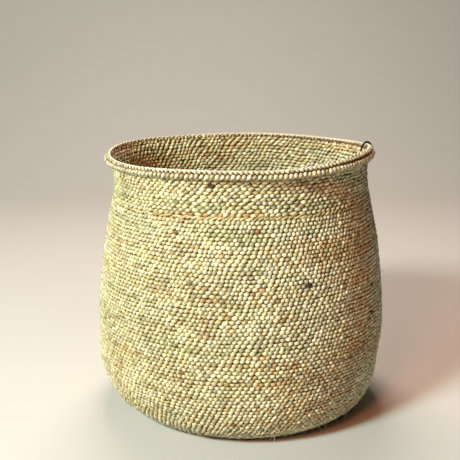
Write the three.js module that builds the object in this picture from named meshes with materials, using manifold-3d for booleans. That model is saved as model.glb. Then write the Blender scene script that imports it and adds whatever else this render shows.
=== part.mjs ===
// Round twined storage basket: one woven wall that is wide above a rounded base and narrows to a
// plaited border. Millimetres, +Z up, origin under the middle of the base on the floor.
// Angles run from the front (-Y) towards the right (+X).
import * as THREE from "three";
import { mergeVertices } from "three/addons/utils/BufferGeometryUtils.js";
import Module from "manifold-3d";

// ---- driving dimensions --------------------------------------------------------------------
const SEGMENTS = 36;          // facets round every woven ring
const GAP = 0.3;              // air between pieces that touch in the real basket
const WEFT = 3.2;             // thickness of the weavers on one face of the stakes
const STAKE = 2.0;            // thickness of the upright stakes
const WALL = 2 * WEFT + 2 * GAP + STAKE;

const CROSS_RADIUS = 28.7;    // starting knot in the middle of the base
const BASE_RADIUS = 160;      // flat woven base, up to where the wall starts to turn
const OUTLINE = [             // outer face of the basket: radius, height
  [160, 0], [171, 0.1], [177, 1.9], [184.5, 6.8], [194, 13.8], [203.5, 23], [211, 35],
  [216, 48], [221.5, 70], [224.5, 105], [225, 150], [220.1, 210], [212, 270], [201, 320],
  [196, 345], [195.3, 362], [196.6, 374], [198.9, 382],
];
const TURN_TOP = 48;          // top of the rounded turn from base to wall
const WALL_TOP = 328;         // top of the main weave
const WALL_BANDS = 5;
const WALE_TOP = 335;         // top of the heavier row where the weave changes

const BORDER_INNER = 189.4;
const BORDER_OUTER = 207.8;
const BORDER_TOP = 398;
const BORDER_FOOT = 385;
const CORE_INNER = 192.6;
const CORE_OUTER = 203.4;
const CORE_TOP = 392.8;

const LOOP_ANGLE = Math.PI / 2;   // the cord loop hangs on the right-hand side
const LOOP_RADIUS = 0.9;          // half the cord's thickness
const LOOP_CENTRE = [197, 388];   // radius, height
const LOOP_HALF = [13, 15.5];
const LOOP_HOLE = { radius: 3.7, height: 375 };

// ---- the hand-made shape ---------------------------------------------------------------------
// The rim waves up and down, the plait stands taller on the right, and the wall leans a little
// in X. RIM_WAVE holds sine and cosine heights at the rim, LEANS pairs of height and shift.
const RIM_LIFT = 2;
const RIM_WAVE = [[2.9, -3.1], [1.3, -1.3], [-0.6, 0.3], [-1.15, 0.8]];
const WAVE_START = 280;
const CREST = { rise: 6.2, angle: 1, half: 0.87 };
const LEANS = [[0, 4], [14, 3], [38, 0], [80, -3], [135, 0], [330, 0], [395, -3.2], [500, -3.2]];

function lean(z) {
  const i = Math.max(1, LEANS.findIndex(([height]) => height > z));
  const [z0, x0] = LEANS[i - 1];
  const [z1, x1] = LEANS[i];
  const t = THREE.MathUtils.clamp((z - z0) / (z1 - z0), 0, 1);
  return x0 + (x1 - x0) * t * t * (3 - 2 * t);
}

function wave(angle, z) {
  const rise = Math.max(0, (z - WAVE_START) / (BORDER_TOP - WAVE_START));
  const height = RIM_WAVE.reduce((sum, [sine, cosine], i) =>
    sum + sine * Math.sin((i + 1) * angle) + cosine * Math.cos((i + 1) * angle), RIM_LIFT);
  return rise * rise * height;
}

function crest(angle, z) {
  const away = Math.min(1, Math.abs(angle - CREST.angle) / CREST.half);
  const share = Math.max(0, (z - BORDER_FOOT) / (BORDER_TOP - BORDER_FOOT));
  return CREST.rise * (1 - away * away) ** 2 * share;
}

function handMade(geometry) {
  const p = geometry.attributes.position;
  for (let i = 0; i < p.count; i += 1) {
    const [x, y, z] = [p.getX(i), p.getY(i), p.getZ(i)];
    const angle = Math.atan2(x, -y);
    p.setXYZ(i, x + lean(z), y, z + wave(angle, z) + crest(angle, z));
  }
  geometry.computeVertexNormals();
  return geometry;
}

// ---- helpers -------------------------------------------------------------------------------
const outline = new THREE.SplineCurve(OUTLINE.map(([r, z]) => new THREE.Vector2(r, z)));
outline.arcLengthDivisions = 2000;
const OUTLINE_LENGTH = outline.getLength();

// Share of the outline's length at which it reaches a height.
function shareAt(height) {
  let low = 0.03;
  let high = 1;
  for (let i = 0; i < 40; i += 1) {
    const middle = (low + high) / 2;
    if (outline.getPointAt(middle).y < height) low = middle;
    else high = middle;
  }
  return high;
}

// Point of the wall at a share of the outline, a given depth in from the outer face.
function wallPoint(share, depth) {
  const point = outline.getPointAt(share);
  const along = outline.getTangentAt(share);
  return new THREE.Vector2(point.x - along.y * depth, point.y + along.x * depth);
}

function stations(from, to, steps) {
  return Array.from({ length: steps + 1 }, (_, i) => from + ((to - from) * i) / steps);
}

function ring(profile) {
  const geometry = new THREE.LatheGeometry([...profile, profile[0].clone()], SEGMENTS);
  return geometry.rotateX(Math.PI / 2);
}

// Closed ring of wall between two depths, through the given shares; trimmed for the gaps.
function wallRing(shares, outer, inner) {
  const trim = GAP / 2 / OUTLINE_LENGTH;
  const cut = shares.map((s, i) => {
    if (i === 0) return Math.min(1, s + trim);
    return i === shares.length - 1 ? Math.max(0, s - trim) : s;
  });
  const out = cut.map((s) => wallPoint(s, outer));
  const back = cut.map((s) => wallPoint(s, inner)).reverse();
  return ring([...out, ...back]);
}

function flatRing(inner, outer, bottom, top) {
  const corners = [[inner, bottom], [outer, bottom], [outer, top], [inner, top]];
  return ring(corners.map(([r, z]) => new THREE.Vector2(r, z)));
}

const wasm = await Module();
wasm.setup();

function toManifold(geometry) {
  const bare = geometry.index ? geometry.clone() : geometry;
  bare.deleteAttribute("normal");
  bare.deleteAttribute("uv");
  const merged = mergeVertices(bare, 1e-4);
  return new wasm.Manifold(new wasm.Mesh({
    numProp: 3,
    vertProperties: new Float32Array(merged.attributes.position.array),
    triVerts: new Uint32Array(merged.index.array),
  }));
}

function fromManifold(solid) {
  const mesh = solid.getMesh();
  const geometry = new THREE.BufferGeometry();
  geometry.setAttribute("position", new THREE.BufferAttribute(mesh.vertProperties, 3));
  geometry.setIndex(new THREE.BufferAttribute(mesh.triVerts, 1));
  return geometry;
}

// The small gap between two weavers that the cord loop goes through.
function withLoopHole(geometry) {
  const drill = new THREE.CylinderGeometry(LOOP_HOLE.radius, LOOP_HOLE.radius, 40, 16);
  drill.rotateZ(Math.PI / 2);
  drill.translate(LOOP_CENTRE[0], 0, LOOP_HOLE.height);
  return fromManifold(toManifold(geometry).subtract(toManifold(drill)));
}

// ---- sub-parts -----------------------------------------------------------------------------
const TURN = stations(0, shareAt(TURN_TOP), 6);
const TURN_HALVES = [TURN.slice(0, 4), TURN.slice(3)];
const BAND_ENDS = stations(shareAt(TURN_TOP), shareAt(WALL_TOP), WALL_BANDS);
const WALE = stations(shareAt(WALL_TOP), shareAt(WALE_TOP), 1);
const UPPER = stations(shareAt(WALE_TOP), 1, 2);
const UNDER_STAKES = WEFT + GAP + STAKE + GAP;

const bandShares = (index) => stations(BAND_ENDS[index], BAND_ENDS[index + 1], 2);

// The starting knot: crossed stakes bound together, the full thickness of the base.
function baseCross() {
  const bevel = 1.2;
  const profile = [
    [0, 0], [CROSS_RADIUS - bevel, 0], [CROSS_RADIUS, bevel],
    [CROSS_RADIUS, WALL - bevel], [CROSS_RADIUS - bevel, WALL], [0, WALL],
  ];
  const points = profile.map(([r, z]) => new THREE.Vector2(r, z));
  return new THREE.LatheGeometry(points, SEGMENTS).rotateX(Math.PI / 2);
}

// Rounds of weaving on the under side and on the upper side of the flat base.
function baseWeftUnder() {
  return flatRing(CROSS_RADIUS + GAP, BASE_RADIUS - GAP, 0, WEFT);
}

function baseWeftUpper() {
  return flatRing(CROSS_RADIUS + GAP, BASE_RADIUS - GAP, UNDER_STAKES, WALL);
}

// All the stakes as one thin skin: out across the base, round the turn and up to the border.
function stakes() {
  const bands = BAND_ENDS.slice(0, -1).flatMap((_, i) => bandShares(i).slice(1));
  const shares = [...TURN, ...bands, WALE[1], ...UPPER.slice(1)];
  const start = CROSS_RADIUS + GAP;
  const out = shares.map((s) => wallPoint(s, WEFT + GAP));
  const back = shares.map((s) => wallPoint(s, WEFT + GAP + STAKE)).reverse();
  const hub = [new THREE.Vector2(start, WEFT + GAP + STAKE), new THREE.Vector2(start, WEFT + GAP)];
  return withLoopHole(ring([...out, ...back, ...hub]));
}

const outerWeft = (shares) => wallRing(shares, 0, WEFT);
const innerWeft = (shares) => wallRing(shares, UNDER_STAKES, WALL);

// The heavier row where the weave changes stands a little proud of the wall.
function waleOuter() {
  const [from, to] = WALE;
  const trim = GAP / 2 / OUTLINE_LENGTH;
  const profile = [
    wallPoint(from + trim, WEFT), wallPoint(from + trim, 0), wallPoint((from + to) / 2, -0.8),
    wallPoint(to - trim, 0), wallPoint(to - trim, WEFT),
  ];
  return ring(profile);
}

// Stake ends laid down along the rim.
function borderCore() {
  return flatRing(CORE_INNER, CORE_OUTER, BORDER_FOOT, CORE_TOP);
}

// The plait that covers them: outside, over the top and down the inside, open underneath.
function borderPlait() {
  const profile = [
    [CORE_OUTER + GAP, BORDER_FOOT], [BORDER_OUTER - 1.6, BORDER_FOOT], [BORDER_OUTER, BORDER_FOOT + 3],
    [BORDER_OUTER, BORDER_TOP - 4], [BORDER_OUTER - 4, BORDER_TOP], [BORDER_INNER + 4, BORDER_TOP],
    [BORDER_INNER, BORDER_TOP - 4], [BORDER_INNER, BORDER_FOOT + 1.5],
    [BORDER_INNER + 1, BORDER_FOOT], [CORE_INNER - GAP, BORDER_FOOT],
    [CORE_INNER - GAP, CORE_TOP + GAP], [CORE_OUTER + GAP, CORE_TOP + GAP],
  ];
  return ring(profile.map(([r, z]) => new THREE.Vector2(r, z)));
}

// Closed loop of thin cord, through the wall below the border and standing above it.
function cordLoop() {
  const [halfWidth, halfHeight] = LOOP_HALF;
  const geometry = new THREE.TorusGeometry(1, LOOP_RADIUS, 8, 28);
  const p = geometry.attributes.position;
  for (let i = 0; i < p.count; i += 1) {
    const angle = Math.atan2(p.getY(i), p.getX(i));
    const out = Math.hypot(p.getX(i), p.getY(i)) - 1;
    const normal = new THREE.Vector2(Math.cos(angle) / halfWidth, Math.sin(angle) / halfHeight);
    normal.normalize();
    const r = LOOP_CENTRE[0] + halfWidth * Math.cos(angle) + normal.x * out;
    const z = LOOP_CENTRE[1] + halfHeight * Math.sin(angle) + normal.y * out;
    p.setXYZ(i, r * Math.sin(LOOP_ANGLE), p.getZ(i) - r * Math.cos(LOOP_ANGLE), z);
  }
  geometry.index.array.reverse();
  return geometry;
}

// ---- assembly ------------------------------------------------------------------------------
const COLOURS = { straw: 0xc6b47a, tan: 0xb08a50, pale: 0xd2c48c, black: 0x17161a };

function piece(name, geometry, colour) {
  const material = new THREE.MeshStandardMaterial({ color: COLOURS[colour], roughness: 0.7 });
  const mesh = new THREE.Mesh(handMade(geometry), material);
  mesh.name = name;
  return mesh;
}

const basket = new THREE.Group();
basket.name = "twined_storage_basket";
basket.add(
  piece("base_cross", baseCross(), "tan"),
  piece("base_weft_under", baseWeftUnder(), "straw"),
  piece("base_weft_upper", baseWeftUpper(), "straw"),
  piece("stakes", stakes(), "tan"),
);
TURN_HALVES.forEach((shares, i) => basket.add(
  piece(`turn_weft_outer_${i + 1}`, outerWeft(shares), "straw"),
  piece(`turn_weft_inner_${i + 1}`, innerWeft(shares), "straw"),
));
for (let i = 0; i < WALL_BANDS; i += 1) {
  basket.add(
    piece(`wall_weft_outer_${i + 1}`, outerWeft(bandShares(i)), "straw"),
    piece(`wall_weft_inner_${i + 1}`, innerWeft(bandShares(i)), "straw"),
  );
}
basket.add(
  piece("wale_outer", waleOuter(), "pale"),
  piece("wale_inner", innerWeft(WALE), "pale"),
  piece("upper_weft_outer", withLoopHole(outerWeft(UPPER)), "straw"),
  piece("upper_weft_inner", withLoopHole(innerWeft(UPPER)), "straw"),
  piece("border_core", borderCore(), "tan"),
  piece("border_plait", borderPlait(), "pale"),
  piece("cord_loop", cordLoop(), "black"),
);

export default basket;
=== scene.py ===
# %% [markdown]
# # A twined seagrass basket
#
# This lesson builds the looks of a round storage basket woven from seagrass cord. The basket is
# wide above a rounded base, draws in to a short neck and ends in a thick plaited border. Every
# visible strand is real geometry: two weavers wind round and round the stakes and twist about
# each other between them, and that twist is what gives the wall its slanting oval stitches.
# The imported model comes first, as the frame that every woven piece has to fill.

import bpy
import numpy as np
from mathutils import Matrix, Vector


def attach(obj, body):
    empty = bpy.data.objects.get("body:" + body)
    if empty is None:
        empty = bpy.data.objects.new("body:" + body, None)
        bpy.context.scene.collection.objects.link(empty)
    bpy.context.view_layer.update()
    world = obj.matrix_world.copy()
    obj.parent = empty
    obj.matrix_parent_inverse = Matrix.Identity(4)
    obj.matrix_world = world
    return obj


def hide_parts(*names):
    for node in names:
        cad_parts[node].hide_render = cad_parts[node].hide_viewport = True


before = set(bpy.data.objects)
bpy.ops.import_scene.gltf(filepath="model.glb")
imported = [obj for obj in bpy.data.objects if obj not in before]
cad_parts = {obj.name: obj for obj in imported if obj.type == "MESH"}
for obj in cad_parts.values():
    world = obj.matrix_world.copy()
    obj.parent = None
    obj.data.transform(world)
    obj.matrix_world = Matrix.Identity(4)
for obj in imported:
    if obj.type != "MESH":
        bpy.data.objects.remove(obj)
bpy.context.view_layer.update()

# %% [markdown]
# The camera stands a little above the rim and looks slightly down, about a metre and a
# quarter away, so the far rim shows over the near one and the rows of weaving curve downwards.
# A long lens keeps the sides of the basket from spreading.

# %% Camera
camera_data = bpy.data.cameras.new("camera")
camera_data.lens = 62.6
camera_data.sensor_width = 36.0
camera = bpy.data.objects.new("camera", camera_data)
camera.location = (-0.0173, -1.231, 0.561)
camera.rotation_euler = (np.radians(90 - 13.29), 0.0, 0.0)
bpy.context.collection.objects.link(camera)
bpy.context.scene.camera = camera
print("camera at", tuple(round(v, 3) for v in camera.location))

# %% [markdown]
# ## The shape of the wall
#
# A basket maker works to a profile. Here it is a list of points, radius and height in
# millimetres, that a smooth curve passes through, the same ones the solid model has. Walking
# along that curve gives one number, the run, that says how far up the wall a strand is. The
# flat base is the same walk continued inwards, so its run is negative.

# %% Profile of the outer face
PROFILE = np.array([
    [160, 0], [171, 0.1], [177, 1.9], [184.5, 6.8], [194, 13.8], [203.5, 23], [211, 35],
    [216, 48], [221.5, 70], [224.5, 105], [225, 150], [220.1, 210], [212, 270], [201, 320],
    [196, 345], [195.3, 362], [196.6, 374], [198.9, 382],
]) / 1000
WALL = 0.009          # thickness of the whole woven wall
FLARE = 0.2           # extra outward step for each step up, under the border
HUB = 0.029           # radius of the knot in the middle of the base


def smooth_curve(points, count):
    """Curve through all the points: between two of them a cubic whose slope at each point is
    half the step from the point before to the point after."""
    last = len(points) - 1
    place = np.linspace(0, last, count)
    i = np.minimum(place.astype(int), last - 1)
    w = (place - i)[:, None]
    before, here = points[np.maximum(i - 1, 0)], points[i]
    there, after = points[i + 1], points[np.minimum(i + 2, last)]
    leave, arrive = (there - before) / 2, (after - here) / 2
    return ((2 * here - 2 * there + leave + arrive) * w**3
            + (3 * there - 3 * here - 2 * leave - arrive) * w**2 + leave * w + here)


curve = smooth_curve(PROFILE, 4001)
curve_run = np.r_[0, np.cumsum(np.hypot(*np.diff(curve, axis=0).T))]
curve_slope = np.gradient(curve, curve_run, axis=0)
curve_slope /= np.linalg.norm(curve_slope, axis=1)[:, None]
WALL_END = curve_run[-1]
HUB_RUN = HUB - PROFILE[0, 0]
profile_run = np.r_[HUB_RUN, curve_run]
profile_radius = np.r_[HUB, curve[:, 0]]
profile_height = np.r_[0.0, curve[:, 1]]
slope_out = np.r_[1.0, curve_slope[:, 0]]
slope_up = np.r_[0.0, curve_slope[:, 1]]


def run_at(height):
    """Run at which the outer face reaches a height."""
    return float(np.interp(height, curve[:, 1], curve_run))


print("profile is", round(WALL_END * 1000), "mm long above the flat base")

# %% [markdown]
# No handmade basket is true. The rim dips at the front left and rises on the right, where the
# plait also stands taller, and the low wall stands a few millimetres to one side of the base.
# The same small moves are in the solid model, so strands and solids stay together.

# %% Handmade moves and the wall as a function
RIM_LIFT = 2.0
WAVE = ((2.9, -3.1), (1.3, -1.3), (-0.6, 0.3), (-1.15, 0.8))
WAVE_START, BORDER_FOOT, RIM_TOP = 0.280, 0.385, 0.398
CREST_RISE, CREST_ANGLE, CREST_HALF = 0.0062, 1.0, 0.87
LEAN_HEIGHTS = np.array([0, 14, 38, 80, 135, 330, 395, 500]) / 1000
LEAN_SHIFTS = np.array([4, 3, 0, -3, 0, 0, -3.2, -3.2]) / 1000


def hand_made(x, y, z):
    """Height gains the square of the climb above the wave's start, times a sum of sines and
    cosines of one to four times the angle, and above the border's foot a bump on the right;
    x gains a smooth step between the lean heights."""
    angle = np.arctan2(x, -y)
    rise = np.maximum(0, (z - WAVE_START) / (RIM_TOP - WAVE_START)) ** 2
    wave = RIM_LIFT + sum(s * np.sin((k + 1) * angle) + c * np.cos((k + 1) * angle)
                          for k, (s, c) in enumerate(WAVE))
    away = np.minimum(1, np.abs(angle - CREST_ANGLE) / CREST_HALF)
    crest = CREST_RISE * (1 - away**2) ** 2 * np.maximum(0, (z - BORDER_FOOT) / (RIM_TOP - BORDER_FOOT))
    i = np.clip(np.searchsorted(LEAN_HEIGHTS, z, side="right"), 1, len(LEAN_HEIGHTS) - 1)
    t = np.clip((z - LEAN_HEIGHTS[i - 1]) / (LEAN_HEIGHTS[i] - LEAN_HEIGHTS[i - 1]), 0, 1)
    step = t * t * (3 - 2 * t)
    lean = LEAN_SHIFTS[i - 1] + (LEAN_SHIFTS[i] - LEAN_SHIFTS[i - 1]) * step
    return np.stack([x + lean, y, z + rise * wave / 1000 + crest], axis=-1)


def ring_point(angle, radius, height):
    """Angle from the front towards the right: x is radius times sine, y minus cosine."""
    return hand_made(radius * np.sin(angle), -radius * np.cos(angle), height)


def wall_point(angle, run, depth):
    """Point on the profile at this run, moved in from the outer face by the depth. Past the
    profile's end it goes straight on, flaring a little to end under the plait."""
    out = np.interp(run, profile_run, slope_out)
    up = np.interp(run, profile_run, slope_up)
    radius = np.interp(run, profile_run, profile_radius) + np.minimum(run - HUB_RUN, 0)
    height = np.interp(run, profile_run, profile_height)
    beyond = np.maximum(run - WALL_END, 0)
    return ring_point(angle, radius + (out + FLARE) * beyond - up * depth,
                      height + up * beyond + out * depth)


quarters = np.arange(4) * np.pi / 2
rim_heights = ring_point(quarters, np.full(4, 0.2), np.full(4, RIM_TOP))[:, 2]
print("rim height in mm, front, right, back and left:", np.round(rim_heights * 1000).astype(int).tolist())

# %% [markdown]
# ## From a path to a strand
#
# Each strand is a tube: an oval carried along a path. The oval lies across the path, and its
# long side leans towards a second direction, here the way up the wall. Everything is computed
# as whole arrays. Four sided faces close the ends too, which is why the oval has an even
# number of corners.

# %% Tube along a path
def unit(vectors):
    return vectors / np.linalg.norm(vectors, axis=-1, keepdims=True)


def tube(path, side, half_side, half_thick, corners, closed=False, twist=0.0, grain=160):
    """Vertex = path + side * half_side * sine + (side x direction) * half_thick * cosine of the
    corner's angle. Also gives the fibre coordinate: distance along times the grain, then cosine
    and sine of the corner's angle after the twist, in radians for each metre."""
    count = len(path)
    if closed:
        direction = unit(np.roll(path, -1, axis=0) - np.roll(path, 1, axis=0))
    else:
        direction = unit(np.gradient(path, axis=0))
    side = unit(side - direction * np.sum(side * direction, axis=1)[:, None])
    across = np.cross(side, direction)
    turn = 2 * np.pi * (np.arange(corners) + 0.5) / corners
    half_side = np.broadcast_to(half_side, count)[:, None, None]
    half_thick = np.broadcast_to(half_thick, count)[:, None, None]
    vertices = (path[:, None] + side[:, None] * half_side * np.sin(turn)[:, None]
                + across[:, None] * half_thick * np.cos(turn)[:, None])
    along = np.r_[0, np.cumsum(np.linalg.norm(np.diff(path, axis=0), axis=1))][:, None]
    spin = turn[None] + twist * along
    fibre = np.stack([np.broadcast_to(along * grain, spin.shape), np.cos(spin), np.sin(spin)], -1)
    i = np.arange(count if closed else count - 1)[:, None]
    j = np.arange(corners)[None]
    here, nxt = i * corners, (i + 1) % count * corners
    quads = np.stack([here + j, here + (j + 1) % corners, nxt + (j + 1) % corners, nxt + j], -1)
    quads = quads.reshape(-1, 4)
    if not closed:
        fan = np.arange(1, corners - 2, 2)
        lid = np.stack([0 * fan, fan, fan + 1, fan + 2], -1)
        quads = np.concatenate([quads, lid[:, ::-1], lid + (count - 1) * corners])
    return vertices.reshape(-1, 3), quads, fibre.reshape(-1, 3)


print("tube helper ready")

# %% [markdown]
# A piece is several tubes joined in one mesh. Besides its shape, each point carries what the
# material needs to know: where it is on its fibres, which stitch it belongs to and which
# length of grass it was twisted from. The material can then follow the strand, whichever way
# the strand turns.

# %% Mesh from tubes
def join(parts):
    """Stacks (vertices, quads, named point values) and shifts each part's quads to match."""
    shift = np.cumsum([0] + [len(p[0]) for p in parts[:-1]])
    values = {k: np.concatenate([p[2][k] for p in parts]) for k in parts[0][2]}
    quads = np.concatenate([p[1] + n for p, n in zip(parts, shift)])
    return np.concatenate([p[0] for p in parts]), quads, values


def new_piece(name, parts, material, nodes):
    vertices, quads, values = join(parts)
    mesh = bpy.data.meshes.new(name)
    mesh.vertices.add(len(vertices))
    mesh.vertices.foreach_set("co", vertices.astype(np.float32).ravel())
    mesh.loops.add(quads.size)
    mesh.loops.foreach_set("vertex_index", quads.astype(np.int32).ravel())
    mesh.polygons.add(len(quads))
    mesh.polygons.foreach_set("loop_start", np.arange(0, quads.size, 4, dtype=np.int32))
    for key, value in values.items():
        kind = "FLOAT_VECTOR" if value.ndim == 2 else "FLOAT"
        layer = mesh.attributes.new(key, kind, "POINT")
        layer.data.foreach_set("vector" if value.ndim == 2 else "value",
                               value.astype(np.float32).ravel())
    mesh.update(calc_edges=True)
    mesh.shade_smooth()
    mesh.materials.append(material)
    piece = bpy.data.objects.new(name, mesh)
    bpy.context.collection.objects.link(piece)
    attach(piece, "root")
    if nodes:
        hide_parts(*nodes)
    print(name, 2 * len(quads), "triangles")
    return piece


# %% [markdown]
# ## Seagrass, the material
#
# Dried seagrass is a pale straw colour with green left in some lengths and rust brown in
# others. A length runs through fourteen to sixty stitches before the next one is spliced in,
# so its colour is chosen for each length, and then made a little lighter or darker from stitch
# to stitch. Fine fibres run along the strand, slightly twisted, and they catch the light, so
# both the colour and the bump are stretched along the fibre coordinate.

# %% Node helpers
def link(tree, source, target):
    tree.links.new(source, target)


def fill_ramp(ramp, stops):
    """Gives a colour ramp its stops, each a place from 0 to 1 and a colour."""
    for place, _ in stops[1:-1]:
        ramp.color_ramp.elements.new(place)
    for element, (place, colour) in zip(ramp.color_ramp.elements, stops):
        element.position, element.color = place, (*colour, 1)


def stretch(tree, source, from_low, from_high, to_low, to_high):
    """Map Range node: carries one span of values onto another, clamped at both ends."""
    node = tree.nodes.new("ShaderNodeMapRange")
    values = {"From Min": from_low, "From Max": from_high, "To Min": to_low, "To Max": to_high}
    for key, value in values.items():
        node.inputs[key].default_value = value
    link(tree, source, node.inputs["Value"])
    return node.outputs["Result"]


def multiply(tree, first, second):
    node = tree.nodes.new("ShaderNodeMath")
    node.operation = "MULTIPLY"
    link(tree, first, node.inputs[0])
    link(tree, second, node.inputs[1])
    return node.outputs[0]


print("node helpers ready")

# %% [markdown]
# Where a stitch dives behind its neighbour its ends are painted brown, a painted shade for the
# recess, and its crown is painted pale, a little brighter than white, as a painted highlight. A
# second ramp, read from the crown value, multiplies the grass colour. The plait has deeper
# hollows than the wall, so it gets a darker ramp, with deeper painted shade.

# %% Grass material
# Crown ramps: brown at 0 is painted shade where a strand dives, above white at 1 a painted highlight.
SHADE_AND_HIGHLIGHT = [(0.0, (0.48, 0.26, 0.07)), (0.4, (0.86, 0.70, 0.36)), (0.75, (0.98, 0.95, 0.84)),
          (1.0, (1.04, 1.05, 1.12))]
DEEP_SHADE_AND_HIGHLIGHT = [(0.0, (0.12, 0.05, 0.02)), (0.4, (0.42, 0.24, 0.10)), (0.75, (0.96, 0.92, 0.80)),
               (1.0, (1.06, 1.06, 1.12))]
STREAK, ROUGHNESS, BUMP = 0.65, 0.42, 0.8


def grass_material(name, colours, shading_colours=SHADE_AND_HIGHLIGHT):
    """Colour ramp over the length's value, times the crown ramp, a painted shade that is brown
    where the stitch dives and fades out towards its crown, where a painted highlight lifts it a
    little, times the stitch's tone, fine streaks along the fibre and slow stains in space."""
    material = bpy.data.materials.new(name)
    material.use_nodes = True
    tree = material.node_tree
    shader = tree.nodes["Principled BSDF"]
    read = {}
    for key in ("length", "stitch", "crown", "fibre"):
        read[key] = tree.nodes.new("ShaderNodeAttribute")
        read[key].attribute_name = key
    ramp = tree.nodes.new("ShaderNodeValToRGB")
    fill_ramp(ramp, colours)
    link(tree, read["length"].outputs["Fac"], ramp.inputs["Fac"])
    crown_shading_ramp = tree.nodes.new("ShaderNodeValToRGB")
    fill_ramp(crown_shading_ramp, shading_colours)
    link(tree, read["crown"].outputs["Fac"], crown_shading_ramp.inputs["Fac"])
    fine = tree.nodes.new("ShaderNodeTexNoise")
    fine.inputs["Scale"].default_value = 2.2
    fine.inputs["Detail"].default_value = 4.0
    fine.inputs["Roughness"].default_value = 0.65
    link(tree, read["fibre"].outputs["Vector"], fine.inputs["Vector"])
    place = tree.nodes.new("ShaderNodeTexCoord")
    patch = tree.nodes.new("ShaderNodeTexNoise")
    patch.inputs["Scale"].default_value = 14.0
    patch.inputs["Detail"].default_value = 3.0
    link(tree, place.outputs["Object"], patch.inputs["Vector"])
    streaks = stretch(tree, fine.outputs["Fac"], 0.3, 0.7, 1 - STREAK, 1 + STREAK * 0.35)
    stains = stretch(tree, patch.outputs["Fac"], 0.35, 0.65, 0.88, 1.06)
    tone = multiply(tree, multiply(tree, streaks, read["stitch"].outputs["Fac"]), stains)
    # Grass colour times the crown ramp: painted shade where the stitch dives, painted highlight on its
    # crown.
    painted_shading = tree.nodes.new("ShaderNodeVectorMath")
    painted_shading.operation = "MULTIPLY"
    link(tree, ramp.outputs["Color"], painted_shading.inputs[0])
    link(tree, crown_shading_ramp.outputs["Color"], painted_shading.inputs[1])
    tint = tree.nodes.new("ShaderNodeVectorMath")
    tint.operation = "SCALE"
    link(tree, painted_shading.outputs["Vector"], tint.inputs[0])
    link(tree, tone, tint.inputs["Scale"])
    link(tree, tint.outputs["Vector"], shader.inputs["Base Color"])
    link(tree, stretch(tree, fine.outputs["Fac"], 0.0, 1.0, ROUGHNESS + 0.12, ROUGHNESS - 0.12),
         shader.inputs["Roughness"])
    ridge = tree.nodes.new("ShaderNodeBump")
    ridge.inputs["Strength"].default_value = BUMP
    ridge.inputs["Distance"].default_value = 0.0006
    link(tree, fine.outputs["Fac"], ridge.inputs["Height"])
    link(tree, ridge.outputs["Normal"], shader.inputs["Normal"])
    return material


print("crown ramps have", len(SHADE_AND_HIGHLIGHT), "and", len(DEEP_SHADE_AND_HIGHLIGHT), "stops")

# %% [markdown]
# The ramp of the wall runs from dark husk through rust, tan and straw to cream and back to
# green and olive, so that a small change of value is a small change of colour. The border
# is bleached, the row where the weave changes is straw, and the hidden stems are brown.

# %% Grass colours
HUSK, RUST = (0.05, 0.025, 0.015), (0.25, 0.10, 0.035)
ORANGE, TAN = (0.58, 0.28, 0.09), (0.62, 0.45, 0.21)
STRAW, PALE, CREAM = (0.70, 0.64, 0.35), (0.80, 0.78, 0.50), (0.85, 0.85, 0.62)
GREEN, OLIVE = (0.62, 0.65, 0.36), (0.42, 0.42, 0.20)
seagrass = grass_material("seagrass_weft", [
    (0.0, HUSK), (0.03, RUST), (0.08, ORANGE), (0.16, TAN), (0.30, STRAW), (0.5, PALE),
    (0.62, CREAM), (0.75, PALE), (0.9, GREEN), (1.0, OLIVE)])
border_grass = grass_material("pale_seagrass_border", [
    (0.0, TAN), (0.2, STRAW), (0.6, PALE), (0.9, CREAM), (1.0, STRAW)], DEEP_SHADE_AND_HIGHLIGHT)
straw_wale = grass_material("straw_wale", [(0.0, TAN), (0.5, STRAW), (0.9, PALE), (1.0, GREEN)])
brown_stem = grass_material("dry_brown_stem", [
    (0.0, (0.09, 0.04, 0.018)), (0.5, (0.24, 0.13, 0.055)), (1.0, (0.48, 0.37, 0.19))])
print("materials:", [m.name for m in bpy.data.materials])

# %% [markdown]
# ## Twining
#
# Twining uses two weavers at once. One passes in front of a stake while the other passes
# behind it, and before the next stake they change places with a half twist, always the same
# way. Seen from either side, each weaver shows as a slanting oval, and the ovals of one row
# sit over the gaps of the row below, because each row takes the stakes in different pairs.
#
# As a formula: count stitches along the row. A weaver's distance from the middle of the wall
# is a cosine of half a turn for each stitch, its rise above the row is the sine of the same
# angle, and the second weaver is half a turn behind. The row is a long spiral, and a half
# stitch left over in each turn staggers the rows by itself.

# %% Chance
LEAN_PER_TURN = 0.085         # stitches each row stands past the half stitch
GRASS_STITCHES = (14, 60)     # stitches worked from one length of grass
rng_of = np.random.default_rng


def slow_noise(angle, run, seed, size):
    """Sum of six sine waves over the wall in random directions, about one size across."""
    rng = rng_of(seed)
    total = np.zeros(np.broadcast(angle, run).shape)
    for _ in range(6):
        round_waves = rng.integers(1, max(2, int(1.3 / size)))
        up_waves = rng.uniform(-1, 1) * 2 * np.pi / size
        total += np.sin(round_waves * angle + up_waves * run + rng.uniform(0, 2 * np.pi))
    return total / 6


def grass_lengths(stitch, seed):
    """Value of the length of grass at each stitch: a new one after each length's stitches."""
    count = int(stitch[-1] / 20) + 20
    ends = np.cumsum(rng_of(seed).uniform(*GRASS_STITCHES, count))
    return rng_of(seed + 1).random(count + 1)[np.searchsorted(ends, stitch)]


print("one length of grass makes {} to {} stitches".format(*GRASS_STITCHES))

# %% [markdown]
# Nothing about a stitch repeats exactly. Each has its own size, slant, height and tone, drawn
# from a table with one line for each stitch, and slow waves over the wall crowd the stitches
# here and there, bend the rows and make patches more green and more brown. The grass is also
# painted browner on the right, away from the lamps, and paler and more green on the left: that
# is painted shade. The slant is greater on the inner face and near the floor, where the weavers
# are pulled round the turn.

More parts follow.
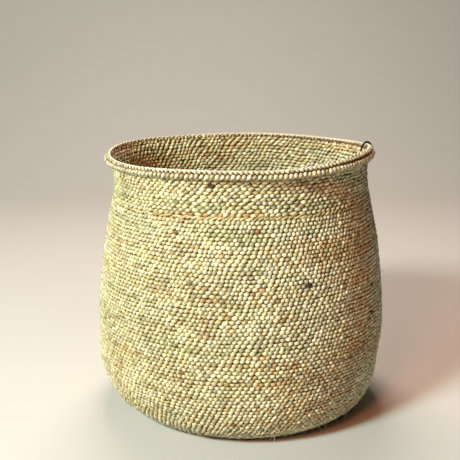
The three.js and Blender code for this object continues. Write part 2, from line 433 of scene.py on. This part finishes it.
# %% One weaver
CROWDING, HURRY = 0.55, 0.08            # in stitches: slow waves, and each stitch alone
RAISED, DEEPENED = 0.00042, 0.00030     # in metres, for each stitch alone
FLOOR_RUN, FLOOR_FADE, FLOOR_SLANT = 0.09, 0.06, 2.6
INNER_SLANT = 0.3
HUSK_CHANCE, TAN_CHANCE = 0.0015, 0.011
RUSTY = 0.12                            # value of the rust coloured weaver of the lowest neck row


def strand_values(fibre, corners, length, stitch=1.0, crown=1.0, edge=0.0):
    """What the material reads at each point. One value for each step is repeated round it, and
    the crown is taken down by the edge towards the narrow sides of the oval, a painted shade on
    the strand's edges."""
    steps = len(fibre) // corners
    flat = np.abs(np.cos(2 * np.pi * (np.arange(corners) + 0.5) / corners))
    # Painted shade: lower crown towards the oval's narrow sides.
    painted_shading = 1 - edge * (1 - flat / flat.max())
    spread = {k: np.repeat(np.broadcast_to(v, steps), corners)
              for k, v in (("length", length), ("stitch", stitch), ("crown", crown))}
    spread["crown"] = spread["crown"] * np.tile(painted_shading, steps)
    return {"fibre": fibre, **spread}


def weaver(stitch, per_turn, start, pitch, phase, seed, number, team=2, sway=0.0027, rise=0.0006,
           half_side=0.0031, half_thick=0.0018, pinch=0.45, shift=0.0, bend=0.0012, rust=None):
    """Angle is the stitch over the stitches in a turn; run grows by one pitch a turn plus the
    rise times sine; depth is the wall's middle less the sway times a flattened cosine, five
    quarters of it less a quarter of its cube. The oval narrows where the weavers cross. A team
    of two repeats every two stitches, a team of three every three. For a team of two the crown
    is high in the middle of a stitch, a painted highlight, and low where the stitch dives and
    lower at its right end, away from the lamps: painted shade."""
    angle = start[0] + 2 * np.pi * stitch / per_turn
    run = start[1] + pitch * stitch / per_turn
    twist = 2 * np.pi * stitch / team + phase
    count = int(stitch[-1]) + 3
    index = np.floor(stitch + 0.5).astype(int)
    hurried = np.interp(stitch, np.arange(count), rng_of(seed).normal(size=count))
    late = HURRY * hurried + CROWDING * slow_noise(angle, run, 9, 0.06)
    patchy = slow_noise(angle, run, 12, 0.10)
    rng = rng_of(seed + 1 + number)
    tilted, raised, deep, fat, toned, chosen = rng.normal(size=(count, 6))[index].T
    stray = rng.random(count)[index]
    bulge = np.abs(np.cos(twist)) if team == 2 else np.ones(len(stitch))
    colour_bands = 0.28 * slow_noise(0.0, run, 21, 0.03)
    rise = rise * (1 + FLOOR_SLANT * np.clip((FLOOR_RUN - run) / FLOOR_FADE, 0, 1))
    slant = rise * (1 + 0.7 * tilted) * (1 + INNER_SLANT - INNER_SLANT * np.cos(twist))
    run = (run + bend * (slow_noise(angle, run, 5, 0.09) + 0.5 * slow_noise(angle, run, 6, 0.03))
           + slant * np.sin(twist) + RAISED * raised * bulge)
    swing = 1.25 * np.cos(twist) - 0.25 * np.cos(twist) ** 3
    depth = WALL / 2 - shift - (sway + DEEPENED * deep) * swing
    angle = angle - 2 * np.pi * late / per_turn
    path = wall_point(angle, run, depth)
    side = wall_point(angle, run + 0.001, depth) - path
    size = (1 - pinch + pinch * bulge) * np.clip(1 + 0.11 * fat, 0.72, 1.22)
    vertices, quads, fibre = tube(path, side, half_side * size, half_thick * size, 6, twist=260)
    # Painted shade: browner on the right, away from the lamps, paler and more green on the left.
    painted_side_shade = 0.09 * np.cos(angle + 1.3) - 0.03
    length = 0.30 + 0.50 * grass_lengths(stitch, seed + 7 + number) + 0.10 * chosen + 0.22 * patchy
    length = np.clip(length + painted_side_shade + colour_bands, 0.17, 0.93)
    length = np.where(stray > 1 - TAN_CHANCE, 0.18, length)
    length = np.where(stray < HUSK_CHANCE, 40 * stray, length)
    if rust is not None:
        length = np.where((stitch > rust[0]) & (stitch < rust[1]) & (number == 0), RUSTY, length)
    tone = np.clip(1 + 0.16 * toned, 0.55, 1.3)
    # Painted light: high crown at a stitch's middle is a painted highlight; low crown where it dives and
    # at its right end, away from the lamps, is painted shade.
    crown = np.clip(bulge - 0.20 * np.sin(2 * twist), 0, 1) if team == 2 else 0.62 + 0.1 * toned
    return vertices, quads, strand_values(fibre, 6, length, tone, crown, edge=0.45)


def twined_rows(first, last, per_turn, start, pitch, seed, team=2, steps=4, **shape):
    """All the weavers of a team from one stitch to another, steps points to a stitch."""
    stitch = np.linspace(first, last, int(round((last - first) * steps)) + 1)
    return [weaver(stitch, per_turn, start, pitch, 2 * np.pi * n / team, seed, n, team, **shape)
            for n in range(team)]


print("twining ready")

# %% [markdown]
# ## The main weave
#
# Sixty-five rows climb from the flat base round the turn and up to the change in the weave.
# They are one spiral, cut where the weavers cross in the middle of the wall, so that no cut
# end shows. There is one piece for each band of the solid model.

# %% Main weave
PITCH = 0.00555
PER_TURN = 176.5 + LEAN_PER_TURN
wall_low, wall_top = run_at(0.048), run_at(0.328)
bands = np.r_[np.linspace(0, wall_low, 3), np.linspace(wall_low, wall_top, 6)[1:]]
band_names = ["turn_weft_outer_1 turn_weft_inner_1", "turn_weft_outer_2 turn_weft_inner_2"]
band_names += [f"wall_weft_outer_{i} wall_weft_inner_{i}" for i in range(1, 6)]
band_ends = np.round(bands / PITCH * PER_TURN) + 0.5
for number, nodes in enumerate(band_names):
    rows = twined_rows(band_ends[number], band_ends[number + 1], PER_TURN, (0.0, 0.0), PITCH, 100)
    new_piece(nodes.split()[0].replace("outer", "rows"), rows, seagrass, nodes.split())

# %% [markdown]
# ## The change in the weave and the neck
#
# A little above the shoulder one row is worked with a team of three: each weaver passes over
# two pairs of stakes and behind one, which leaves long thin slanting stitches. It locks the
# wall before the neck. Above it the same cord takes the stakes in bigger groups, so there are
# fewer and longer stitches to the row, and the rows are pressed closer together.

# %% Change row and neck
def spiral_end(last, per_turn, start, pitch):
    """Where a spiral stops: its angle and its run after the last stitch."""
    return start[0] + 2 * np.pi * last / per_turn, start[1] + pitch * last / per_turn


change_start = spiral_end(band_ends[-1], PER_TURN, (0.0, 0.0), PITCH)
CHANGE_PITCH, CHANGE_TURN = 0.0052, 150.0
change_rows = twined_rows(0, CHANGE_TURN * 1.02, CHANGE_TURN, change_start, CHANGE_PITCH, 300, team=3,
                          steps=3, rise=0.0015, half_side=0.0018, half_thick=0.0015, shift=0.0002)
new_piece("wale_row", change_rows, straw_wale, ["wale_outer", "wale_inner"])

NECK_PITCH, NECK_TURN = 0.00493, 130.444
neck_start = spiral_end(CHANGE_TURN, CHANGE_TURN, change_start, CHANGE_PITCH)
neck_turns = (WALL_END + 0.0075 - neck_start[1]) / NECK_PITCH
rust_angles = np.radians([-26, 7])
rust_stitches = ((rust_angles - neck_start[0]) % (2 * np.pi)) / (2 * np.pi) * NECK_TURN
neck_rows = twined_rows(0.5, np.round(neck_turns * NECK_TURN) + 0.5, NECK_TURN, neck_start, NECK_PITCH,
                        400, steps=5, half_side=0.0029, rise=0.0007, rust=rust_stitches)
new_piece("upper_weft_rows", neck_rows, seagrass, ["upper_weft_outer", "upper_weft_inner"])

# %% [markdown]
# ## The base
#
# The basket starts as a small mat of crossed stems woven over and under. The stems are then
# spread into a wheel, and twining holds the spokes. New stakes are pushed in beside the old
# ones as the wheel grows, so the number of stitches in a row goes up in steps and the stitches
# stay the same size.

# %% Twined base
BASE_ZONES = ((4, 34.5), (7, 60.5), (7, 96.5), (6, 132.5))     # turns, stitches in a turn
base_pitch = -HUB_RUN / sum(turns for turns, _ in BASE_ZONES)
base_rows, done = [], 0
for zone, (turns, per_turn) in enumerate(BASE_ZONES):
    base_rows += twined_rows(0.5, np.round(turns * per_turn) + 0.5, per_turn,
                             (0.0, HUB_RUN + done * base_pitch), base_pitch, 500 + 20 * zone,
                             steps=4, bend=0.0003, rise=0.0003)
    done += turns
new_piece("base_rows", base_rows, seagrass, ["base_weft_under", "base_weft_upper"])

# %% [markdown]
# The mat is the plain weave of a chequered cloth. Each stem goes over one crossing stem and
# under the next, which is a cosine that turns half way round for each crossing. Where one stem
# is high the stem that crosses it is low.

# %% Starting mat
MAT_SPACING = 0.0041


def mat_stem(offset, sideways, parity, seed):
    """A stem along X, or along Y when sideways. Its height is the middle of the wall plus a
    cosine that goes over one crossing stem and under the next."""
    reach = np.sqrt(max((HUB + 0.003) ** 2 - offset**2, 1e-6))
    t = np.linspace(-reach, reach, max(6, int(reach * 2 / 0.0013)))
    z = WALL / 2 + 0.0014 * np.cos(np.pi * (t / MAT_SPACING + parity))
    x, y = (np.full(len(t), offset), t) if sideways else (t, np.full(len(t), offset))
    path = hand_made(x, y, z)
    side = np.broadcast_to([1.0, 0, 0] if sideways else [0, 1.0, 0], path.shape)
    vertices, quads, fibre = tube(path, side, 0.0019, 0.0013, 6, twist=60)
    return vertices, quads, strand_values(fibre, 6, 0.2 + 0.7 * rng_of(seed).random())


mat = [mat_stem(MAT_SPACING * k, sideways, k + sideways, 600 + k + 20 * sideways)
       for k in range(-6, 7) for sideways in (False, True)]
new_piece("base_mat", mat, seagrass, ["base_cross"])

# %% [markdown]
# ## Stakes
#
# The stakes are the upright stems that everything is woven round. They are nearly hidden, but
# they fill the gaps between stitches with brown shadow and close the wall to light, as they do
# in the real one. Few of them start at the mat: their number doubles after four, eleven and
# eighteen rounds of the base, so that they stand equally close all the way up.

# %% Stakes
def stake(angle, first_run, seed):
    """Flat stem up the middle of the wall: the angle stays and the run goes from its start
    to the border."""
    run = np.linspace(first_run, WALL_END, max(8, int((WALL_END - first_run) / 0.0125)))
    path = wall_point(np.full(len(run), angle), run, WALL / 2)
    side = wall_point(np.full(len(run), angle + 0.002), run, WALL / 2) - path
    width = np.minimum(0.00165, 0.0044 * np.interp(run, profile_run, profile_radius) / 0.2)
    vertices, quads, fibre = tube(path, side, width, 0.00085, 6, grain=60)
    return vertices, quads, strand_values(fibre, 6, 0.2 + 0.7 * rng_of(seed).random())


SPOKES = 44
stake_runs = np.full(8 * SPOKES, HUB_RUN + 18 * base_pitch)
stake_runs[::2] = HUB_RUN + 11 * base_pitch
stake_runs[::4] = HUB_RUN + 4 * base_pitch
stake_runs[::8] = HUB_RUN - 0.003
stake_angles = 2 * np.pi * np.arange(8 * SPOKES) / (8 * SPOKES)
stakes = [stake(a, r, 1000 + i) for i, (a, r) in enumerate(zip(stake_angles, stake_runs))]
new_piece("stake_stems", stakes, brown_stem, ["stakes"])

# %% [markdown]
# ## The border
#
# At the top the stake ends are bent over, bound into a rope along the rim and covered by a
# plait of three flat bundles. In a plait each bundle swings from one edge to the other and
# back while it passes over and under, so across the plait it is a sine, and through the plait
# a sine of twice the angle. The bundles are a third of a swing apart. The plait leans back, so
# that it shows from the front and from above.

# %% Plait
PLAIT_MIDDLE, PLAIT_LEAN, PLAIT_SWINGS = (0.2006, 0.3909), np.radians(32), 61


def plait_strand(phase, periods, half_across, half_through, half_side, half_thick, seed, samples=20):
    """Path = middle of the plait + across * sine + through * sine of twice the angle. The oval
    is widest where the bundle lies on top and is wider again in the lower row."""
    angle = np.linspace(0, 2 * np.pi, periods * samples, endpoint=False)
    swing = periods * angle + phase
    rng = rng_of(seed)
    number = (np.floor(swing / np.pi).astype(int)) % (2 * periods)
    jitter = rng.normal(size=(3, 2 * periods))[:, number]
    across = half_across * (1 + 0.09 * jitter[0]) * np.sin(swing)
    through = -half_through * np.sin(2 * swing)
    bulge = np.abs(np.sin(2 * swing))
    lower = np.maximum(0, -np.sin(swing))
    # Painted light: low crown where a bundle dives into the plait is painted shade in its holes; high
    # crown where it lies on top and in the lower row is a painted highlight.
    crown = np.clip(0.5 - 0.75 * np.sin(2 * swing + 0.95) + 0.45 * lower + 0.12 * jitter[0], 0, 1)
    through = through + 0.0006 * slow_noise(angle, 0.3, 8, 0.05)
    radius = PLAIT_MIDDLE[0] - across * np.sin(PLAIT_LEAN) + through * np.cos(PLAIT_LEAN)
    height = PLAIT_MIDDLE[1] + across * np.cos(PLAIT_LEAN) + through * np.sin(PLAIT_LEAN)
    path = ring_point(angle, radius, height)
    above = ring_point(angle, radius + 0.001 * np.cos(PLAIT_LEAN), height + 0.001 * np.sin(PLAIT_LEAN))
    direction = unit(np.roll(path, -1, axis=0) - np.roll(path, 1, axis=0))
    side = np.cross(direction, above - path)
    size = (0.55 + 0.45 * bulge + 0.2 * lower) * (1 + 0.09 * jitter[1])
    vertices, quads, fibre = tube(path, side, half_side * size, half_thick * size, 8, closed=True,
                                  grain=150)
    # Painted shade: up to a fifth darker on the left, where the lamps light the plait most.
    tone = np.clip(1 + 0.13 * jitter[2], 0.7, 1.2) * (1 - 0.18 * np.maximum(0, -np.sin(angle)))
    length = grass_lengths(np.arange(len(angle)) / 5, seed + 1)
    return vertices, quads, strand_values(fibre, 8, length, tone, crown, edge=0.6)


plait = [plait_strand(2 * np.pi * k / 3, PLAIT_SWINGS, 0.0041, 0.0028, 0.0027, 0.0021, 700 + 5 * k)
         for k in range(3)]
print("the plait crosses itself", 3 * 2 * PLAIT_SWINGS, "times")

# %% [markdown]
# A cord of two stems lies on the crest of the plait, and a rope of three fills its inside.
# Their stems twist about each other all the way round the rim, so each is one big circle with
# a small circle added. The cord is given the top of the crown ramp, a painted highlight, and
# both are paler at the front and browner at the back, a painted shade. The rope is never seen
# whole, but it shows between the bundles; its stems get lower crowns than the cord, so the
# plait's ramp paints them brown to dark brown, as painted shade inside the plait.

# %% Crest and core of the border
def core_stem(phase, turns, middle, swing_size, half, length, crown=1.0, samples=9):
    """Path = circle round the rim + a small circle that turns many times on the way. The grass
    value is the first length plus the second times the cosine of the angle, so the stem is paler
    at the front and browner at the back: painted shade."""
    angle = np.linspace(0, 2 * np.pi, turns * samples, endpoint=False)
    twist = turns * angle + phase
    radius, height = middle[0] + swing_size * np.cos(twist), middle[1] + swing_size * np.sin(twist)
    path = ring_point(angle, radius, height)
    side = ring_point(angle, radius, height + 0.001) - path
    vertices, quads, fibre = tube(path, side, half, half, 6, closed=True, grain=150)
    return vertices, quads, strand_values(fibre, 6, length[0] + length[1] * np.cos(angle), 1.0, crown)


# Crest cord: crown 1 is a painted highlight; paler at the front and browner at the back, painted shade.
crest = [core_stem(np.pi * k, PLAIT_SWINGS, (0.1986, 0.3958), 0.0009, 0.0013, (0.6, 0.25))
         for k in range(2)]
new_piece("border_plait_strands", plait + crest, border_grass, ["border_plait"])
# Rope: low crowns paint its stems brown to dark brown, painted shade inside the plait; browner at the
# back, painted shade.
core = [core_stem(2 * np.pi * k / 3, 60, (0.1974, 0.3900), 0.0013, 0.0016, (0.4, 0.3), 0.1 + 0.3 * k)
        for k in range(3)]
new_piece("border_core_stems", core, border_grass, ["border_core"])

# %% [markdown]
# ## Loose ends
#
# Where one length of grass runs out the next is pushed in beside it, and the two ends stay in
# the weave. Most are trimmed close, some stand out a few millimetres and a few fibres split off
# and curl. They are single thin tapering tubes. Most are scattered at random over the wall, and
# more of them along the lower right edge and inside the rim. Ten are listed one by one.

# %% Loose ends
def loose_end(angle, run, long, half, tilt, lift, curl=0.0, inside=False):
    """Leaves the wall at the angle and run, goes along it in the direction of the tilt, and
    stands off by the lift times the square of the way gone. Curl bends it up the wall, and the
    floor stops it."""
    t = np.linspace(0, 1, 7)
    radius = np.interp(run, profile_run, profile_radius)
    angles = angle + long * t * np.cos(tilt) / radius
    runs = run + long * (t * np.sin(tilt) + curl * t**2)
    off = long * lift * t**2
    path = wall_point(angles, runs, WALL - 0.0006 + off if inside else 0.0006 - off)
    path[:, 2] = np.maximum(path[:, 2], half)
    side = wall_point(angles, runs + 0.001, 0.0) - wall_point(angles, runs, 0.0)
    vertices, quads, fibre = tube(path, side, half * (1 - 0.6 * t), 0.6 * half * (1 - 0.6 * t), 4)
    return vertices, quads, strand_values(fibre, 4, 0.3 + 0.6 * (1000 * angle % 1))


rng = rng_of(900)
scattered = [loose_end(rng.uniform(-np.pi, np.pi), rng.uniform(0.01, 0.40), rng.uniform(0.003, 0.010),
                       rng.uniform(0.0004, 0.0007), rng.uniform(-0.9, 0.9) + np.pi * rng.integers(2),
                       rng.uniform(0.2, 0.7), rng.uniform(-0.4, 0.4)) for _ in range(140)]
low_right = [loose_end(np.radians(rng.uniform(10, 75)), rng.uniform(0.004, 0.045),
                       rng.uniform(0.005, 0.011), rng.uniform(0.0005, 0.0010),
                       -rng.uniform(0.6, 2.0), rng.uniform(0.5, 1.1)) for _ in range(40)]
in_rim = [loose_end(rng.uniform(-np.pi, np.pi), rng.uniform(0.33, 0.41), rng.uniform(0.004, 0.014),
                    rng.uniform(0.0003, 0.0006), rng.uniform(0, 2 * np.pi), rng.uniform(0.05, 0.3),
                    inside=True) for _ in range(40)]
# angle in degrees; run, length and half width in millimetres; tilt in degrees; lift, curl, inside
BY_HAND = (
    (91, 61, 7, 0.8, 130, 0.7, 0.0, False), (-82, 197, 6, 0.5, 160, 0.8, 0.2, False),
    (-81, 180, 5, 0.4, 200, 0.9, 0.0, False), (-81, 143, 6, 0.5, 170, 0.8, 0.3, False),
    (44, 307, 9, 0.4, 20, 0.5, 0.4, False), (213, 416, 12, 0.9, 160, 0.1, 0.0, True),
    (259, 410, 14, 0.4, 60, 0.2, 0.0, True), (262, 408, 12, 0.4, 115, 0.2, 0.0, True),
    (125, 400, 55, 0.4, 4, 0.06, 0.04, True), (-3, 409, 12, 0.5, -25, 0.3, 0.0, False))
placed = [loose_end(np.radians(a), run / 1000, long / 1000, half / 1000, np.radians(tilt), *rest)
          for a, run, long, half, tilt, *rest in BY_HAND]
new_piece("loose_grass_ends", scattered + low_right + in_rim + placed, seagrass, [])

# %% [markdown]
# ## The cord loop
#
# A thin black cord is tied through the weave just under the border on the right and lies over
# the rim. It is two plies twisted together, each a small spiral round the loop's own path. The
# path is an ellipse, so the loop is closed and its knot is left out.

# %% Cord loop
PLY_TURNS, PLY_SWING, PLY_HALF = 36, 0.0007, 0.0009


def cord_material():
    """Near black, with a slow change of colour along the plies."""
    material = bpy.data.materials.new("black_cord")
    material.use_nodes = True
    tree = material.node_tree
    shader = tree.nodes["Principled BSDF"]
    fibre = tree.nodes.new("ShaderNodeAttribute")
    fibre.attribute_name = "fibre"
    fine = tree.nodes.new("ShaderNodeTexNoise")
    fine.inputs["Scale"].default_value = 5.0
    link(tree, fibre.outputs["Vector"], fine.inputs["Vector"])
    ramp = tree.nodes.new("ShaderNodeValToRGB")
    ramp.color_ramp.elements[0].color = (0.003, 0.003, 0.004, 1)
    ramp.color_ramp.elements[1].color = (0.018, 0.016, 0.017, 1)
    link(tree, fine.outputs["Fac"], ramp.inputs["Fac"])
    link(tree, ramp.outputs["Color"], shader.inputs["Base Color"])
    shader.inputs["Roughness"].default_value = 0.75
    shader.inputs["Specular IOR Level"].default_value = 0.25
    return material


def loop_ply(phase):
    """Path = ellipse over the rim + a small circle that turns many times on the way."""
    t = np.linspace(0, 2 * np.pi, PLY_TURNS * 8, endpoint=False)
    twist = PLY_TURNS * t + phase
    width, height = 0.0091 + PLY_SWING * np.cos(twist), 0.0125 + PLY_SWING * np.cos(twist)
    angle = np.pi / 2 + PLY_SWING * np.sin(twist) / 0.2
    path = ring_point(angle, 0.1972 + width * np.cos(t), 0.3870 + height * np.sin(t))
    side = np.broadcast_to([0.0, 1.0, 0.0], path.shape)
    vertices, quads, fibre = tube(path, side, PLY_HALF, PLY_HALF, 6, closed=True, grain=900)
    return vertices, quads, {"fibre": fibre}


new_piece("cord_loop_plies", [loop_ply(0.0), loop_ply(np.pi)], cord_material(), ["cord_loop"])

# %% [markdown]
# ## Stage and light
#
# The floor and the backdrop are one plain pale sheet, which curves up behind the basket, so no
# edge shows and nothing draws the eye away from the weave.

# %% Stage
def stage_sheet():
    """A floor that curves up into a backdrop: the height is a quarter circle of the depth."""
    x = np.linspace(-5, 5, 3)
    bend = np.linspace(0, np.pi / 2, 12)
    y = np.r_[-4, 0.4, 1.6 + 1.2 * np.sin(bend), 2.8]
    z = np.r_[0, 0, 1.2 - 1.2 * np.cos(bend), 5]
    grid = np.stack([np.tile(x, len(y)), np.repeat(y, 3), np.repeat(z, 3)], -1)
    i = np.arange(len(y) - 1)[:, None] * 3 + np.arange(2)
    quads = np.stack([i, i + 1, i + 4, i + 3], -1).reshape(-1, 4)
    mesh = bpy.data.meshes.new("stage")
    mesh.from_pydata(grid.tolist(), [], quads.tolist())
    mesh.shade_smooth()
    sheet = bpy.data.objects.new("stage", mesh)
    bpy.context.collection.objects.link(sheet)
    paint = bpy.data.materials.new("stage_pale")
    paint.use_nodes = True
    paint.node_tree.nodes["Principled BSDF"].inputs["Base Color"].default_value = (0.56, 0.55, 0.49, 1)
    paint.node_tree.nodes["Principled BSDF"].inputs["Roughness"].default_value = 0.8
    mesh.materials.append(paint)


stage_sheet()
print("floor and backdrop ready")

# %% [markdown]
# Daylight comes from the front left, above the rim. Three square lamps make it, bluish,
# yellowish and reddish from left to right. On the lit side they add up to white. Towards the
# right the reddish one still reaches the wall when the others no longer do, and there the pale
# straw turns brown. A bigger lamp, high behind, lights the crest of the border and the inside.

# %% Lights
MIDDLE = (0, 0, 0.25)         # what every lamp points at


def soft_light(name, place, size, power, colour):
    data = bpy.data.lights.new(name, "AREA")
    data.size, data.energy, data.color = size, power, colour
    lamp = bpy.data.objects.new(name, data)
    lamp.location = place
    lamp.rotation_euler = (Vector(MIDDLE) - Vector(place)).to_track_quat("-Z", "Y").to_euler()
    bpy.context.collection.objects.link(lamp)


soft_light("daylight", (-1.65, -1.69, 1.8), 0.5, 88, (0.55, 0.78, 1.0))
soft_light("window", (-1.6, -1.88, 1.9), 0.5, 52, (0.92, 1.0, 0.62))
soft_light("room", (-0.9, -2.3, 1.9), 0.5, 33, (1.0, 0.26, 0.14))
soft_light("sky", (-0.1, 1.0, 2.3), 1.0, 48, (1.0, 0.80, 0.72))
world = bpy.data.worlds.new("room")
world.use_nodes = True
world.node_tree.nodes["Background"].inputs["Color"].default_value = (1.0, 0.80, 0.62, 1)
world.node_tree.nodes["Background"].inputs["Strength"].default_value = 0.02
bpy.context.scene.world = world
bpy.context.scene.view_settings.view_transform = "Standard"
